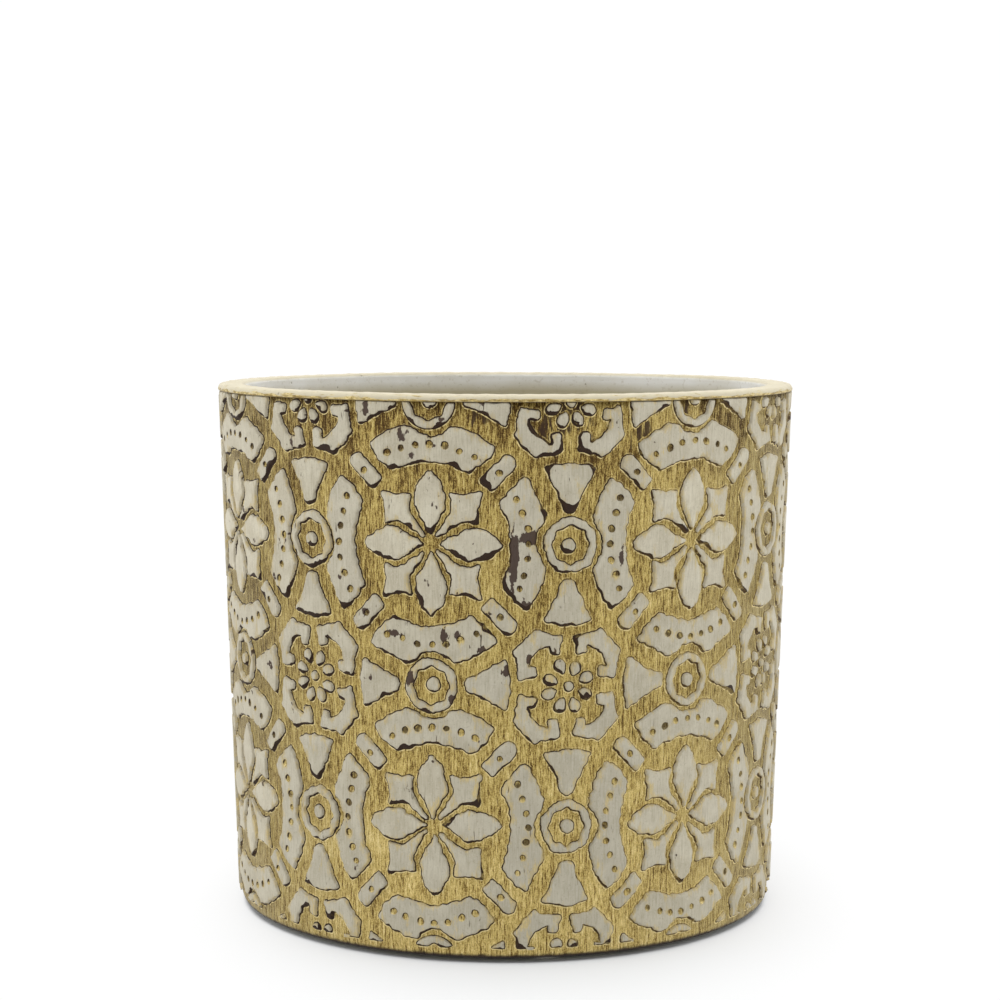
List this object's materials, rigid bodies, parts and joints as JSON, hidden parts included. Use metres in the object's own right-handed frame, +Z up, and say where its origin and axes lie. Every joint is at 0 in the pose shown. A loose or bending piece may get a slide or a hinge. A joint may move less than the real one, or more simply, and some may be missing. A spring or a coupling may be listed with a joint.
{
  "type": "planter pot",
  "caption": "Round cast cement planter with a tapered wall, raised flower tile islands over a thin gold coat, thin foot pads and a lift-out drain plug.",
  "frame": {"origin": "middle of the plane the foot pads stand on, on the pot's own axis", "axes": "+Z up along the pot's axis, -Y towards the viewer with a flower column just left of it, +X to the viewer's right"},
  "size_m": [0.14, 0.14, 0.1271],
  "materials": {
    "cement": "smooth",
    "gold_paint": "brushed",
    "bare_cement": "matte",
    "pad_felt": "matte",
    "plug_rubber": "matte"
  },
  "bodies": {
    "pot": {"cement_body": "cement", "gold_coat": "gold_paint", "leaf_petals": "bare_cement", "star_petals": "bare_cement", "dotted_arcs": "bare_cement", "lozenges": "bare_cement", "rosette_rings": "bare_cement", "rosette_discs": "bare_cement", "keystones": "bare_cement", "medallion_borders": "bare_cement", "medallion_drops": "bare_cement", "medallion_dots": "bare_cement", "foot_pads": "pad_felt"},
    "drain_plug": {"drain_plug": "plug_rubber"}
  },
  "joints": [
    {"name": "plug_lift", "type": "slide", "parent": "pot", "child": "drain_plug", "axis": [0, 0, 1], "range_m": [0, 0.135]}
  ]
}
